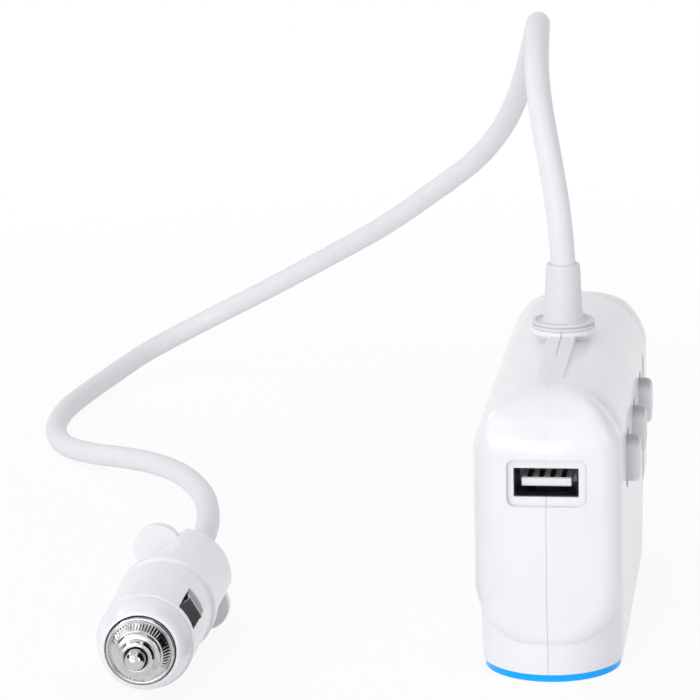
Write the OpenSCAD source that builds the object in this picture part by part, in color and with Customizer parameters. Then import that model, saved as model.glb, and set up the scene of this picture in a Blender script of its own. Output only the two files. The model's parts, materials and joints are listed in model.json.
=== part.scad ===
// Three-way socket hub for a car's 12 V supply, with a charging port in one end,
// three push switches, a round lead and the plug that feeds it.
// The hub stands on its socket face. +X is the side with the switches, +Y runs away
// from the charging port and +Z is up. The origin is the middle of the middle
// socket's mouth. All lengths are in millimetres and all angles in degrees.

/* [Hub housing] */
// Room from the outer sockets' liners to the tips of the end pads
end_room = 4.8; // [4.5:0.1:8]
// Room from each liner to the outside of the side walls
side_room = 3.8; // [3.7:0.1:5]
// Room above the circuit board, up to the outside of the roof
upper_room = 23.8; // [23.5:0.5:32]
// Wall thickness of the two housing halves
wall = 1.8; // [1.4:0.1:2.2]
// Radius of the shoulders between the sides and the roof
shoulder_r = 12; // [8:0.5:12.5]
// Radius of the gently arched roof
roof_r = 18; // [17.5:0.5:40]
// How much narrower the housing is at its foot, on each side
foot_taper = 0.4; // [0:0.1:1.2]
// Height over which the foot widens to the full width
foot_h = 24; // [12:1:30]

/* [End pads] */
// How far each pad stands out past the round end behind it
pad_rise = 1.4; // [1:0.1:2.5]
// How much wider each pad is than the housing
pad_proud = 0.4; // [0.2:0.1:1]
// Height of the pad's lowest point
pad_low = 6; // [4:0.5:12]
// Radius of the pad's rounded edge
pad_edge_r = 5; // [3:0.5:7]
// Radius over which the pad's face rolls back into the roof
pad_top_r = 14; // [8:0.5:15]
// Radius of the pad's gently domed face
pad_face_r = 70; // [50:5:120]

/* [Sockets] */
// Distance between neighbouring sockets
socket_pitch = 37.5; // [36.5:0.5:41]
// Bore of each socket
socket_bore = 21.4; // [21:0.1:21.8]
// Length of each socket's metal liner
liner_len = 31.7; // [30:0.1:32.5]
// Sheet thickness of the liner
liner_t = 0.5; // [0.4:0.1:0.8]
// Thickness of the coloured base plate's rim
plate_t = 1.6; // [1:0.1:2]
// How far the base plate's rim lies inside the housing's foot
plate_inset = 0.4; // [0.2:0.1:0.8]
// Height of the locating lip on the base plate
lip_h = 2.6; // [1.5:0.1:4]
// Diameter of each socket's centre contact
contact_d = 9; // [7:0.5:11]

/* [Switches] */
// Distance between neighbouring switches
switch_pitch = 24; // [22:0.5:26]
// Diameter of a switch cap
cap_d = 10; // [8.5:0.5:11]
// How far a cap stands out of the side wall
cap_out = 2.7; // [2:0.1:4]
// How far a cap travels when it is pressed
cap_travel = 1.2; // [0.8:0.1:1.5]
// Gap round a cap in its hole
cap_gap = 0.3; // [0.25:0.05:0.5]
// Depth of the shallow dish round each cap
dish_depth = 0.7; // [0.4:0.1:0.9]
// Side of a square switch body
switch_body = 6; // [5.5:0.25:6.5]

/* [Charging port] */
// Width inside the port's metal shell
port_w = 12.5; // [12:0.1:13]
// Height inside the port's metal shell
port_h = 5.3; // [5:0.1:5.6]
// Depth of the port's metal shell
port_depth = 14; // [12:0.5:16]
// Height of the port's middle above the circuit board
port_lift = 5.2; // [4.5:0.1:8]
// Width of the shallow surround in the end pad
bezel_w = 16.2; // [15.4:0.2:18]
// Height of the shallow surround in the end pad
bezel_h = 10; // [9:0.2:11]
// Depth of the shallow surround below the pad's crown
bezel_sink = 1.1; // [0.9:0.1:1.5]

/* [Lead] */
// Diameter of the round lead
lead_d = 5.3; // [4.5:0.1:6]
// Length of the sleeve that guides the lead out of the roof
sleeve_len = 12.2; // [8:0.1:20]
// Diameter at the top of that sleeve
sleeve_d = 7.3; // [6.8:0.1:8.5]
// Diameter of the round flange at the sleeve's foot
flange_d = 13.6; // [12.5:0.1:14.5]
// Diameter of the round collar over the roof
collar_d = 14.6; // [14.2:0.1:17]
// Height of the collar's top above the roof
collar_h = 1.8; // [1.6:0.1:3]
// Diameter of the neck that carries the collar
collar_neck_d = 11; // [10.4:0.1:12]
// Width of the low rib where it leaves the collar
rib_w = 6.2; // [4:0.2:8]
// Width of the low rib where it meets the end pad
rib_end_w = 5; // [3:0.2:7]

/* [Plug] */
// Sideways place of the plug's axis, from the middle socket
plug_x = -81.6; // [-90:0.2:-60]
// Place of the plug's nose ring along the hub's length
plug_y = -71; // [-80:1:-60]
// Diameter of the plug's barrel
barrel_d = 20.4; // [20:0.1:20.8]
// Length of the white nose cap
cap_len = 6; // [5:0.25:8]
// Length of the barrel between nose cap and handle
barrel_len = 23; // [22:0.5:28]
// Diameter of the handle
handle_d = 21.6; // [21:0.1:23]
// Length of the handle
handle_len = 25.4; // [23:0.2:32]
// Distance of the finger flats from the plug's axis
flat_r = 7.5; // [7.4:0.1:9]
// Radius of each rounded finger ear
ear_r = 5.2; // [4:0.1:5.5]
// How far an ear reaches out past the round of the handle
ear_reach = 2.5; // [1.5:0.1:3]
// Thickness of each finger ear
ear_t = 2.4; // [1.8:0.1:3.5]
// Direction of the upper ear, from +X up towards +Z
ear_dir = 128; // [120:1:140]
// Direction of the side contact, from +X up towards +Z
contact_dir = 30; // [20:1:40]
// Diameter of the bright nose ring
ring_d = 14.3; // [13:0.1:15]
// Diameter of the sprung centre pin
pin_d = 4.2; // [3.8:0.1:5.4]
// How far the pin stands out in front of the ring
pin_out = 8.2; // [7:0.2:10]
// How far the pin is pushed in
pin_travel = 2.4; // [1.5:0.1:3]
// Length of the fuse behind the pin
fuse_len = 30; // [25:0.5:30.5]
// Length of each side window
window_len = 13; // [12:0.25:14]
// Width of each side window
window_w = 5.7; // [5:0.1:7]
// How far a side contact stands out of the barrel
contact_out = 1; // [0.5:0.1:1.4]
// Thickness of the spring strip of a side contact
strip_t = 0.5; // [0.4:0.05:0.6]

/* [Hidden] */
$fn = 64;
touch = 0.05;
crease = 0.01;
slack = 0.3;
over = 1;
liner_d = socket_bore + 2 * liner_t;
hub_len = 2 * socket_pitch + liner_d + 2 * end_room;
hub_w = liner_d + 2 * side_room;
half_w = hub_w / 2;
pad_half_w = half_w + pad_proud / 2;
end_y = hub_len / 2 - pad_rise - half_w;
inner_half_w = half_w - wall;
foot_half_w = half_w - foot_taper;
plate_half_w = foot_half_w - plate_inset;
SOCKET_Y = [-socket_pitch, 0, socket_pitch];
SWITCH_Y = [-switch_pitch, 0, switch_pitch];

// Stack of parts over each socket: a ring on the liner, a floor and a narrower crown
cup_t = 4.5;
cup_floor_t = 2.3;
cup_ring_t = 2.6;
cup_crown_d = 18;
cup_hollow_d = 16;
rivet_head = 1.2;
rivet_shank_d = 5;
floor_z = liner_len + cup_t - cup_floor_t;
board_z = liner_len + cup_t;
board_t = 1.6;
board_top = board_z + board_t;
switch_z = board_top + switch_body / 2;
port_z = board_top + port_lift;
hub_h = board_top + upper_room;

// Screw bosses that join the two halves
boss_d = 6.4;
head_boss_d = 8.4;
head_d = 5.6;
head_sink = 1.2;
head_t = 2.2;
screw_d = 2.9;
screw_len = 16;
recess_span = 3;
recess_slot = 0.8;
recess_depth = 1.2;
low_boss_z = 9;
high_boss_z = hub_h - 10.5;
boss_step = 6;
high_boss_y = switch_pitch + boss_step;
BOSSES = [[-socket_pitch / 2, low_boss_z], [socket_pitch / 2, low_boss_z],
          [-high_boss_y, high_boss_z], [high_boss_y, high_boss_z]];

// Lead guide in the roof
neck_d = 8.2;
collar_lift = 0.45;
collar_edge_r = 0.6;
guide_foot_d = 10.4;
guide_foot_t = 1.6;
collar_top = hub_h + collar_h;
flange_t = 1.5;
sleeve_top = collar_top + flange_t + sleeve_len;
guide_foot_z = hub_h - wall - 0.9;
rib_h = 1.1;

// Plug, measured from its nose ring backwards along its axis
ear_mid = handle_d / 2 + ear_reach - ear_r;
plug_z = max(handle_d / 2, ear_mid * sin(ear_dir) + ear_r);
barrel_end = cap_len + barrel_len;
plug_len = barrel_end + handle_len;
barrel_wall = 1.6;
barrel_in_r = barrel_d / 2 - barrel_wall;
handle_in_r = 6;
spigot_len = 3;
spigot_r = barrel_in_r - touch;
fuse_d = 6.3;
tube_in_r = fuse_d / 2 + slack;
tube_out_r = tube_in_r + 0.9;
pin_flange_z = 2.4;
pin_flange_t = 1.4;
fuse_z = pin_flange_z + pin_flange_t;
fuse_end = fuse_z + fuse_len;
spring_len = 8;
spring_end = fuse_end + spring_len;
terminal_t = 1.2;
tube_end_t = 1.4;
tube_z = 5.2;
tube_end = spring_end + terminal_t + tube_end_t;
window_z = 7;
relief_len = 12;
relief_end = plug_len + relief_len;

// Route of the lead's middle line, from the top of the sleeve to the plug
lead_r = lead_d / 2;
ROUTE_MIDDLE = [
    [-0.4, 0, 83.5], [-1.2, 0.8, 90], [-2.5, 3, 97], [-4.2, 7, 104.5],
    [-5.6, 11.8, 110.5], [-6.6, 18, 115.5], [-7.2, 26, 119.3], [-7.8, 36, 121.4],
    [-8.6, 48, 121.2], [-10, 62, 118.3], [-12, 77, 112.5], [-14.6, 92, 104.6],
    [-18, 107, 95.2], [-22.3, 121, 85.8], [-27.2, 133, 78], [-32.5, 143, 71.4],
    [-38.8, 152, 65.3], [-46, 161, 59], [-54, 171, 52], [-63.5, 182.5, 44.4],
    [-74.5, 194, 36.6], [-86, 203, 29], [-97.8, 209, 21.8], [-108.8, 211.9, 15.7],
    [-119.6, 210.2, 10.3], [-128.6, 202, 6.5], [-134.6, 188.5, 4.1], [-138.9, 172.5, 3],
    [-141.4, 155, 2.65], [-140.2, 136, 2.65], [-134.6, 119.5, 2.9], [-125.2, 107.5, 4.1],
    [-114.8, 98.4, 5.5], [-105.5, 88.2, 6.8], [-96.5, 73.5, 8.1], [-88.7, 53, 9.5],
    [-84, 32, 10.6], [-81.8, 13, 11.4]];
ROUTE = concat([[0, 0, sleeve_top]], ROUTE_MIDDLE, [[plug_x, plug_y + relief_end, plug_z]]);
rings_between = 1;
lead_sides = 10;

// Outline with upright sides, rounded corners and a domed top, standing on y = 0.
// The corner circles touch the sides from inside and cross the dome at a slight crease.
module domed_outline(half_width, corner_r, dome_r, top) {
    corner_x = half_width - corner_r;
    dome_y = top - dome_r;
    reach = dome_r - corner_r + crease;
    corner_y = dome_y + sqrt(reach * reach - corner_x * corner_x);
    far = 1.4 * dome_r / reach;
    translate([-half_width, 0]) square([2 * half_width, corner_y]);
    for (side = [-1, 1]) translate([side * corner_x, corner_y]) circle(corner_r);
    intersection() {
        translate([0, dome_y]) circle(dome_r, $fn = 180);
        polygon([[0, dome_y],
                 [corner_x * far, dome_y + (corner_y - dome_y) * far],
                 [-corner_x * far, dome_y + (corner_y - dome_y) * far]]);
    }
}

// The two wedges that the tapering foot takes off the sides of an outline
module foot_cuts(half_width) {
    steps = 5;
    edge = [for (i = [0:steps]) [half_width - foot_taper * pow(1 - i / steps, 2),
                                 foot_h * i / steps]];
    for (side = [0, 1]) mirror([side, 0])
        polygon(concat(edge, [[half_width + over, foot_h], [half_width + over, -over],
                              [half_width - foot_taper, -over]]));
}

// Cross-section of the housing, drawn with the height along y
module section(inset) {
    difference() {
        domed_outline(half_w - inset, shoulder_r - inset, roof_r - inset, hub_h - inset);
        foot_cuts(half_w - inset);
    }
}

// Long body with the housing's cross-section and round ends
module long_body(inset) {
    rotate([90, 0, 0]) linear_extrude(2 * end_y, center = true) section(inset);
    for (side = [-1, 1]) translate([0, side * end_y, 0]) rotate_extrude()
        intersection() {
            section(inset);
            square([hub_w, hub_h]);
        }
}

// Pill-shaped pad on the end that faces -Y: upright, domed and rounded all round
module end_pad() {
    depth = pad_rise + half_w;
    low = pad_low + pad_half_w;
    high = pad_top - pad_half_w;
    module face() domed_outline(pad_half_w, pad_edge_r, pad_face_r, depth);
    module puck() rotate([90, 0, 0]) rotate_extrude() intersection() {
        face();
        square([pad_half_w, depth]);
    }
    intersection() {
        translate([0, -end_y, 0]) {
            translate([0, 0, low]) puck();
            translate([0, 0, high]) puck();
            translate([0, 0, low]) linear_extrude(high - low) mirror([0, 1]) face();
        }
        rotate([90, 0, 90]) linear_extrude(hub_w + 2 * over, center = true) pad_side();
    }
}

// Side view of a pad: an upright face that rolls back into the roof
pad_top = hub_h - 0.2;
module pad_side() {
    front = -hub_len / 2 - touch;
    top = pad_top + touch;
    translate([front + pad_top_r, top - pad_top_r]) circle(pad_top_r);
    translate([front, 0]) square([hub_w, top - pad_top_r]);
    translate([front + pad_top_r, 0]) square([hub_w, top]);
}

// Slot outline of a given half width and distance between its end centres
module slot_outline(half_width, reach) {
    translate([-half_width, -reach]) square([2 * half_width, 2 * reach]);
    for (side = [-1, 1]) translate([0, side * reach]) circle(half_width);
}

// Rectangle with rounded corners
module round_rect(w, h, r) {
    square([w - 2 * r, h], center = true);
    square([w, h - 2 * r], center = true);
    for (sx = [-1, 1], sy = [-1, 1])
        translate([sx * (w / 2 - r), sy * (h / 2 - r)]) circle(r);
}

// Whole outside of the housing, before it is split
module housing_outside() {
    long_body(0);
    end_pad();
    mirror([0, 1, 0]) end_pad();
    translate([0, 0, hub_h]) roof_collar();
    roof_rib();
}

// Round-edged collar on a narrower neck, standing on the roof
module roof_collar() rotate_extrude() {
    collar_r = collar_d / 2;
    translate([0, -wall]) square([collar_neck_d / 2, wall + collar_h]);
    translate([0, collar_lift]) square([collar_r - collar_edge_r, collar_h - collar_lift]);
    translate([0, collar_lift + collar_edge_r])
        square([collar_r, collar_h - collar_lift - 2 * collar_edge_r]);
    for (z = [collar_lift + collar_edge_r, collar_h - collar_edge_r])
        translate([collar_r - collar_edge_r, z]) circle(collar_edge_r);
}

// Low rib that falls from the collar to the end pad above the charging port
module roof_rib() intersection() {
    rib_end = -end_y - 2;
    rib_drop = 0.15;
    rotate([90, 0, 90]) linear_extrude(rib_w, center = true) polygon([
        [0, hub_h - wall], [0, hub_h + rib_h], [-collar_neck_d / 2, hub_h + rib_h],
        [rib_end, hub_h - rib_drop], [rib_end, hub_h - wall]]);
    translate([0, 0, hub_h - wall]) linear_extrude(wall + rib_h + over) polygon([
        [-rib_w / 2, 0], [rib_w / 2, 0], [rib_end_w / 2, rib_end], [-rib_end_w / 2, rib_end]]);
}

// Everything taken out of the housing as a whole
module housing_hollows() {
    difference() {
        long_body(wall);
        translate([-hub_w, -hub_len, hub_h - wall - 0.05]) cube([2 * hub_w, 2 * hub_len, wall]);
    }
    // Open foot, closed by the base plate
    translate([-hub_w, -hub_len, -over]) cube([2 * hub_w, 2 * hub_len, plate_t + over]);
    linear_extrude(plate_t + lip_h) slot_outline(foot_half_w - wall, end_y);
    // Waist and foot seat of the lead guide
    translate([0, 0, hub_h - 2 * wall]) cylinder(h = 3 * wall + collar_h, d = neck_d + 2 * touch);
    // Charging port, its surround and the room behind it
    front_y = -hub_len / 2;
    translate([0, front_y + bezel_sink, port_z]) rotate([90, 0, 0])
        linear_extrude(bezel_sink + over) round_rect(bezel_w, bezel_h, 1.6);
    translate([-shell_w / 2 - touch, front_y - over, port_z - shell_h / 2 - touch])
        cube([shell_w + 2 * touch, port_depth + over, shell_h + 2 * touch]);
}
shell_t = 0.35;
shell_w = port_w + 2 * shell_t;
shell_h = port_h + 2 * shell_t;
port_y = -hub_len / 2 + bezel_sink + 0.4;

// Keeps only the side of the housing that lies towards +X
module right_of_seam() {
    translate([0, -hub_len, -over]) cube([2 * hub_w, 2 * hub_len, 2 * hub_h]);
}

// Round posts for the screws, from the seam to the wall
module screw_posts(d) {
    intersection() {
        for (b = BOSSES) translate([0, b[0], b[1]]) rotate([0, 90, 0]) cylinder(h = hub_w, d = d);
        long_body(wall / 2);
    }
}

// Plain half of the housing on the +X side
module half_shell() difference() {
    intersection() {
        housing_outside();
        right_of_seam();
    }
    housing_hollows();
}

// Half of the housing with the switch holes
module housing_right() color("white") difference() {
    union() {
        half_shell();
        screw_posts(boss_d);
    }
    for (b = BOSSES) translate([-over, b[0], b[1]]) rotate([0, 90, 0])
        cylinder(h = screw_reach + 2 * over, d = screw_d);
    for (y = SWITCH_Y) translate([0, y, switch_z]) rotate([0, 90, 0])
        cylinder(h = hub_w, d = cap_d + 2 * cap_gap);
    for (y = SWITCH_Y) translate([half_w - dish_depth, y, switch_z]) rotate([0, 90, 0])
        cylinder(h = dish_depth + over, d = cap_d + dish_rim);
}
dish_rim = 3;

// Half of the housing that the screws enter from, drawn on +X and mirrored
head_seat = half_w - head_sink - head_t;
screw_reach = screw_len - head_seat;
module housing_left() color("white") mirror([1, 0, 0]) difference() {
    union() {
        half_shell();
        screw_posts(head_boss_d);
    }
    for (b = BOSSES) translate([0, b[0], b[1]]) rotate([0, 90, 0]) rotate_extrude() polygon([
        [0, -over], [screw_d / 2 + touch, -over], [screw_d / 2 + touch, head_seat],
        [head_d / 2 + touch, head_seat], [head_d / 2 + touch, hub_w], [0, hub_w]]);
}

// Screws that hold the halves together
module housing_screws() color("silver") for (b = BOSSES) translate([0, b[0], b[1]])
    difference() {
        rotate([0, 90, 0]) union() {
            translate([0, 0, -head_seat - head_t]) cylinder(h = head_t, d = head_d);
            translate([0, 0, -head_seat]) cylinder(h = screw_len, d = screw_d - 2 * touch);
        }
        // Cross recess
        for (turn = [0, 90]) translate([-head_seat - head_t - over, 0, 0]) rotate([turn, 0, 0])
            translate([0, -recess_span / 2, -recess_slot / 2])
                cube([over + recess_depth, recess_span, recess_slot]);
    }

lip_wall = 0.8;
// Blue plate that closes the foot and frames the three socket mouths
module base_plate() color([0, 0.55, 0.95]) difference() {
    union() {
        linear_extrude(plate_t) slot_outline(plate_half_w, end_y);
        linear_extrude(plate_t + lip_h)
            slot_outline(min(foot_half_w - wall - 0.1, inner_half_w - foot_taper - 0.1), end_y);
    }
    for (y = SOCKET_Y) translate([0, y, -over])
        cylinder(h = plate_t + lip_h + 2 * over, d = liner_d + 2 * touch);
    // Hollows between the sockets, where the lip only follows the edge
    for (side = [-1, 1]) translate([0, side * socket_pitch / 2, plate_t])
        linear_extrude(lip_h + over)
            square([hub_w / 2, socket_pitch - liner_d - 2 * lip_wall], center = true);
}

// Metal liner of a socket
module socket_liner(y) color("silver") translate([0, y, 0]) difference() {
    cylinder(h = liner_len, d = liner_d);
    translate([0, 0, -over]) cylinder(h = liner_len + 2 * over, d = socket_bore);
}
module front_socket_liner() socket_liner(SOCKET_Y[0]);
module middle_socket_liner() socket_liner(SOCKET_Y[1]);
module rear_socket_liner() socket_liner(SOCKET_Y[2]);

// Insulating cup that closes a socket
module socket_cup(y) color([0.15, 0.15, 0.15]) translate([0, y, liner_len]) difference() {
    union() {
        cylinder(h = cup_ring_t, d = liner_d);
        cylinder(h = cup_t, d = cup_crown_d);
    }
    translate([0, 0, -over]) cylinder(h = cup_t - cup_floor_t + over, d = cup_hollow_d);
    cylinder(h = cup_t + over, d = rivet_shank_d);
}
module front_socket_cup() socket_cup(SOCKET_Y[0]);
module middle_socket_cup() socket_cup(SOCKET_Y[1]);
module rear_socket_cup() socket_cup(SOCKET_Y[2]);

// Brass rivet in the middle of a socket's floor
module socket_contact(y) color([0.85, 0.7, 0.35]) translate([0, y, floor_z]) {
    rotate_extrude() polygon([[0, -rivet_head - 0.5], [contact_d * 0.22, -rivet_head - 0.35],
                              [contact_d * 0.42, -rivet_head], [contact_d / 2, -rivet_head * 0.6],
                              [contact_d / 2, 0], [0, 0]]);
    cylinder(h = cup_floor_t, d = rivet_shank_d);
}
module front_socket_contact() socket_contact(SOCKET_Y[0]);
module middle_socket_contact() socket_contact(SOCKET_Y[1]);
module rear_socket_contact() socket_contact(SOCKET_Y[2]);

// Switch cap: domed button, retaining flange and the stem that works the switch.
// It is drawn along z and lies along +X.
cap_face_x = half_w + cap_out;
cap_flange_x = inner_half_w - slack - 1;
cap_foot_x = cap_flange_x - 0.3;
switch_front_x = cap_foot_x - cap_travel - slack;
stem_d = 2.6;
stem_len = 3.6;
module switch_cap(y) color([0.93, 0.95, 0.98]) translate([0, y, switch_z]) rotate([0, 90, 0]) {
    rotate_extrude() {
        cap_r = cap_d / 2;
        edge_r = 1.4;
        translate([0, cap_foot_x]) square([cap_r, cap_face_x - edge_r - cap_foot_x]);
        translate([0, cap_foot_x]) square([cap_r - edge_r, cap_face_x - cap_foot_x]);
        intersection() {
            translate([cap_r - edge_r, cap_face_x - edge_r]) circle(edge_r);
            square([cap_r, cap_face_x]);
        }
        // Flange that stops the cap behind the wall
        translate([0, cap_foot_x]) square([cap_r + cap_gap + 0.6, 1.1]);
    }
    translate([0, 0, switch_front_x - stem_len]) cylinder(h = stem_len + cap_travel + 2 * slack, d = stem_d);
}
module front_switch_cap() switch_cap(SWITCH_Y[0]);
module middle_switch_cap() switch_cap(SWITCH_Y[1]);
module rear_switch_cap() switch_cap(SWITCH_Y[2]);

// Square switch body on the board, with a well for the cap's stem
module switch_case(y) color([0.2, 0.2, 0.22]) translate([0, y, switch_z]) difference() {
    translate([switch_front_x - 8, -switch_body / 2, -switch_body / 2])
        cube([8, switch_body, switch_body]);
    translate([switch_front_x - stem_len - cap_travel - slack, 0, 0]) rotate([0, 90, 0])
        cylinder(h = stem_len + cap_travel + slack + over, d = stem_d + 2 * slack);
}
module front_switch_body() switch_case(SWITCH_Y[0]);
module middle_switch_body() switch_case(SWITCH_Y[1]);
module rear_switch_body() switch_case(SWITCH_Y[2]);

// Circuit board that lies on the three cups and follows the housing's round ends
board_half_w = switch_front_x - 0.6;
module circuit_board() color([0.1, 0.42, 0.25]) translate([0, 0, board_z]) linear_extrude(board_t)
    difference() {
        intersection() {
            slot_outline(inner_half_w - 0.6, end_y);
            square([2 * board_half_w, hub_len], center = true);
        }
        for (y = [-socket_pitch / 2, socket_pitch / 2]) translate([-2, y]) circle(board_hole_r);
    }

// Coil, capacitor, converter chip and the port's riser on the board
board_hole_r = 1.6;
parts_x = -4.5;
coil_d = 8;
coil_t = 5;
coil_bore = 3.4;
coil_y = -13;
can_d = 6.4;
can_len = 11;
can_y = 12;
chip_w = 4;
chip_l = 5;
chip_t = 1.5;
riser_front = 4.2;
module board_parts() {
    color([0.3, 0.3, 0.32]) translate([parts_x, coil_y, board_top]) difference() {
        cylinder(h = coil_t, d = coil_d);
        translate([0, 0, -over]) cylinder(h = coil_t + 2 * over, d = coil_bore);
    }
    color([0.15, 0.2, 0.4]) translate([parts_x, can_y, board_top]) cylinder(h = can_len, d = can_d);
    color([0.1, 0.1, 0.1]) translate([parts_x - chip_w / 2, -chip_l / 2, board_top])
        cube([chip_w, chip_l, chip_t]);
    color([0.1, 0.1, 0.1]) translate([-shell_w / 2 + 1, port_y + riser_front, board_top])
        cube([shell_w - 2, port_depth - riser_front - 1, port_z - shell_h / 2 - board_top]);
}

// Metal shell of the charging port
module port_shell() color("silver") translate([-shell_w / 2, port_y, port_z - shell_h / 2])
    difference() {
        cube([shell_w, port_depth, shell_h]);
        translate([shell_t, -over, shell_t]) cube([port_w, port_depth - 1 + over, port_h]);
    }

// Insulating tongue inside the port
tongue_w = 10.3;
tongue_t = 1.84;
tongue_z = port_z - 0.25;
module port_tongue() color([0.9, 0.9, 0.88]) {
    translate([-tongue_w / 2, port_y + 1, tongue_z - tongue_t / 2])
        cube([tongue_w, port_depth - 2, tongue_t]);
    translate([-port_w / 2, port_y + port_depth - 4, port_z - port_h / 2]) cube([port_w, 3, port_h]);
}

// Four gilt contacts on the upper face of the tongue
module port_contacts() color([0.85, 0.7, 0.35]) for (i = [-1.5:1:1.5])
    translate([i * 2.3 - 0.5, port_y + 1.4, tongue_z + tongue_t / 2])
        cube([1, port_depth - 5.4, 0.2]);

// Rubber guide that leads the cord out of the roof: foot, waist, flange and sleeve
module lead_guide() color("white") rotate_extrude() polygon([
    [0, guide_foot_z - guide_foot_t], [guide_foot_d / 2 - 0.4, guide_foot_z - guide_foot_t],
    [guide_foot_d / 2, guide_foot_z - guide_foot_t + 0.4], [guide_foot_d / 2, guide_foot_z],
    [neck_d / 2, guide_foot_z], [neck_d / 2, collar_top],
    [flange_d / 2 - 0.2, collar_top], [flange_d / 2, collar_top + 0.2],
    [flange_d / 2, collar_top + 0.5], [flange_d / 2 - 0.5, collar_top + 0.65],
    [flange_d / 2 - 0.5, collar_top + 0.85], [flange_d / 2 - 0.1, collar_top + 1],
    [flange_d / 2 - 0.1, collar_top + flange_t - 0.2], [flange_d / 2 - 0.3, collar_top + flange_t],
    [flange_d / 2 - 0.8, collar_top + flange_t], [flange_d / 2 - 1.2, collar_top + flange_t - 0.3],
    [sleeve_d / 2 + 1.7, collar_top + flange_t - 0.2],
    [sleeve_d / 2 + 1.1, collar_top + flange_t + 0.4],
    [sleeve_d / 2 + 0.55, collar_top + flange_t + 1.5],
    [sleeve_d / 2 + 0.3, collar_top + flange_t + 3.4], [sleeve_d / 2, sleeve_top - 0.3],
    [sleeve_d / 2 - 0.3, sleeve_top], [0, sleeve_top]]);

// Two insulated wires from the lead guide down to the board
module lead_wires() for (side = [-1, 1])
    color(side < 0 ? [0.7, 0.1, 0.1] : [0.1, 0.1, 0.1])
        translate([-1.4, side * 1.4, board_top])
            cylinder(h = guide_foot_z - guide_foot_t - board_top, d = 1.6);

// Smooth curve through route points: one span, at fraction t from its second point
function blend_point(p, t) = 0.5 * (2 * p[1] + (p[2] - p[0]) * t
    + (2 * p[0] - 5 * p[1] + 4 * p[2] - p[3]) * t * t
    + (3 * p[1] - p[0] - 3 * p[2] + p[3]) * t * t * t);
function span(path, i) = let (n = len(path)) [path[max(i - 1, 0)], path[i], path[min(i + 1, n - 1)],
    path[min(i + 2, n - 1)]];
function smooth_path(path, parts) = concat(
    [for (i = [0:len(path) - 2], k = [0:parts - 1]) blend_point(span(path, i), k / parts)],
    [path[len(path) - 1]]);
function unit(v) = v / norm(v);
// Direction of travel at each point; the ends point along the first and last axes
function tangents(path, first, last) = [for (i = [0:len(path) - 1])
    i == 0 ? first : i == len(path) - 1 ? last : unit(path[i + 1] - path[i - 1])];
// A side direction carried along the path without twisting
function carry(tangent, side) = unit(side - tangent * (side * tangent));
function sides_from(tans, i, side) = i >= len(tans) ? [] :
    let (next = carry(tans[i], side)) concat([next], sides_from(tans, i + 1, next));

// Round bar swept along a path, with flat ends
module swept_bar(path, first, last, r, sides, start_side) {
    tans = tangents(path, first, last);
    side = sides_from(tans, 0, start_side);
    count = len(path);
    points = [for (i = [0:count - 1], k = [0:sides - 1])
        let (turn = 360 * k / sides, across = cross(tans[i], side[i]))
        path[i] + r * (cos(turn) * side[i] + sin(turn) * across)];
    walls = [for (i = [0:count - 2], k = [0:sides - 1]) let (n = (k + 1) % sides)
        [i * sides + k, (i + 1) * sides + k, (i + 1) * sides + n, i * sides + n]];
    start_cap = [for (k = [0:sides - 1]) k];
    end_cap = [for (k = [sides - 1:-1:0]) (count - 1) * sides + k];
    polyhedron(points, concat([start_cap], walls, [end_cap]));
}

// The round lead from the sleeve to the plug
module lead() color([0.96, 0.96, 0.97])
    swept_bar(smooth_path(ROUTE, rings_between), [0, 0, 1], [0, -1, 0], lead_r, lead_sides, [1, 0, 0]);

// Puts a part that is drawn along z, nose at the bottom, onto the plug's axis
module on_plug() translate([plug_x, plug_y, plug_z]) rotate([-90, 0, 0]) children();
// Turns a part that is drawn towards +X to a direction measured from +X up towards +Z
module facing(direction) rotate([0, 0, -direction]) children();

// Short tapered sleeve behind the handle
module plug_relief() color("white") on_plug() rotate_extrude() polygon([
    [0, plug_len - 2], [4.9, plug_len - 2], [4.9, plug_len],
    [4.4, plug_len + 1], [lead_r + 0.9, relief_end - 0.4], [lead_r + 0.6, relief_end],
    [0, relief_end]]);

// Handle with a collar, two finger flats and two rounded ears
module plug_handle() color("white") on_plug() difference() {
    union() {
        difference() {
            rotate_extrude() polygon([[0, barrel_end], [handle_d / 2 - 0.9, barrel_end],
                [handle_d / 2, barrel_end + 0.9], [handle_d / 2, plug_len - 2.2],
                [handle_d / 2 - 0.6, plug_len - 0.9], [handle_d / 2 - 1.9, plug_len], [0, plug_len]]);
            for (direction = [ear_dir, ear_dir + 180]) facing(direction)
                translate([flat_r, -handle_d / 2, barrel_end + spigot_len + 1.4])
                    cube([handle_d, handle_d, handle_len]);
        }
        for (direction = [ear_dir, ear_dir + 180]) facing(direction)
            translate([0, 0, plug_len - ear_t - 1]) linear_extrude(ear_t) {
                translate([ear_mid, 0]) circle(ear_r);
                translate([0, -ear_r - 0.8]) square([ear_mid - 0.8, 2 * ear_r + 1.6]);
                translate([ear_mid - 1.6, -ear_r]) square([1.6, 2 * ear_r]);
            }
    }
    translate([0, 0, barrel_end - over]) cylinder(h = spigot_len + over, r = spigot_r + touch);
    translate([0, 0, barrel_end]) cylinder(h = handle_len - 3, r = handle_in_r);
    translate([0, 0, plug_len - 4]) cylinder(h = 4 + over, r = 4.9 + touch);
}

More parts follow.
